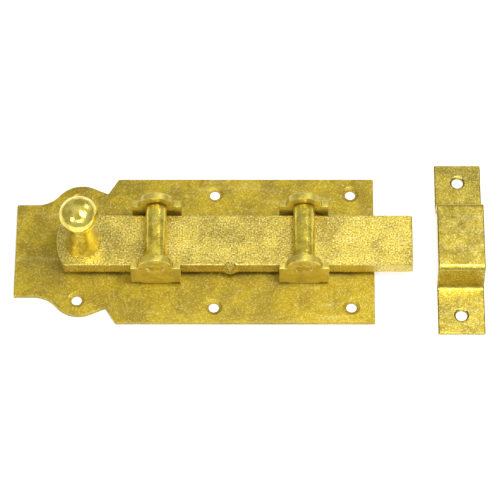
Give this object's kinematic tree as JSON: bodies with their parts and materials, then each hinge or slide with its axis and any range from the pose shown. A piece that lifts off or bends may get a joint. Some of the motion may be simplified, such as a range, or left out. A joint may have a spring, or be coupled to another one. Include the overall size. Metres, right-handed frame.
{
  "type": "flat slide bolt latch",
  "caption": "Surface-mounted flat slide bolt with a ball knob, roller guides on a shaped back plate and a separate hat-shaped keeper.",
  "frame": {"origin": "centre of the four-screw rectangle on the plate's back face, which lies on the door", "axes": "+X along the bolt towards the keeper, +Y across the plate, +Z away from the door"},
  "size_m": [0.2605, 0.103, 0.0596],
  "materials": {
    "plate_zinc": "yellow zinc plated sheet, cloudy",
    "bolt_zinc": "yellow zinc plated bar, fine grained",
    "knob_zinc": "yellow zinc plated, turned and polished",
    "keeper_zinc": "yellow zinc plated strip, fine grained",
    "bracket_zinc": "yellow zinc plated strip, satin",
    "roller_zinc": "yellow zinc plated tube, drawn",
    "rivet_zinc": "yellow zinc plated, upset ends"
  },
  "bodies": {
    "base": {"back_plate": "plate_zinc", "keeper": "keeper_zinc", "left_guide_bracket": "bracket_zinc", "left_roller_pin": "rivet_zinc", "left_far_saddle_rivet": "rivet_zinc", "left_near_saddle_rivet": "rivet_zinc", "right_guide_bracket": "bracket_zinc", "right_roller_pin": "rivet_zinc", "right_far_saddle_rivet": "rivet_zinc", "right_near_saddle_rivet": "rivet_zinc"},
    "bolt": {"slide_bolt": "bolt_zinc", "knob": "knob_zinc"},
    "left_roller": {"left_guide_roller": "roller_zinc"},
    "right_roller": {"right_guide_roller": "roller_zinc"}
  },
  "joints": [
    {"name": "bolt_slide", "type": "slide", "parent": "base", "child": "bolt", "axis": [1, 0, 0], "range_m": [-0.023, 0.023]},
    {"name": "left_roller_spin", "type": "hinge", "parent": "base", "child": "left_roller", "pos_m": [-0.0698, 0, 0.0225], "axis": [0, 1, 0], "continuous": true},
    {"name": "right_roller_spin", "type": "hinge", "parent": "base", "child": "right_roller", "pos_m": [0.0118, 0, 0.0225], "axis": [0, 1, 0], "continuous": true}
  ]
}
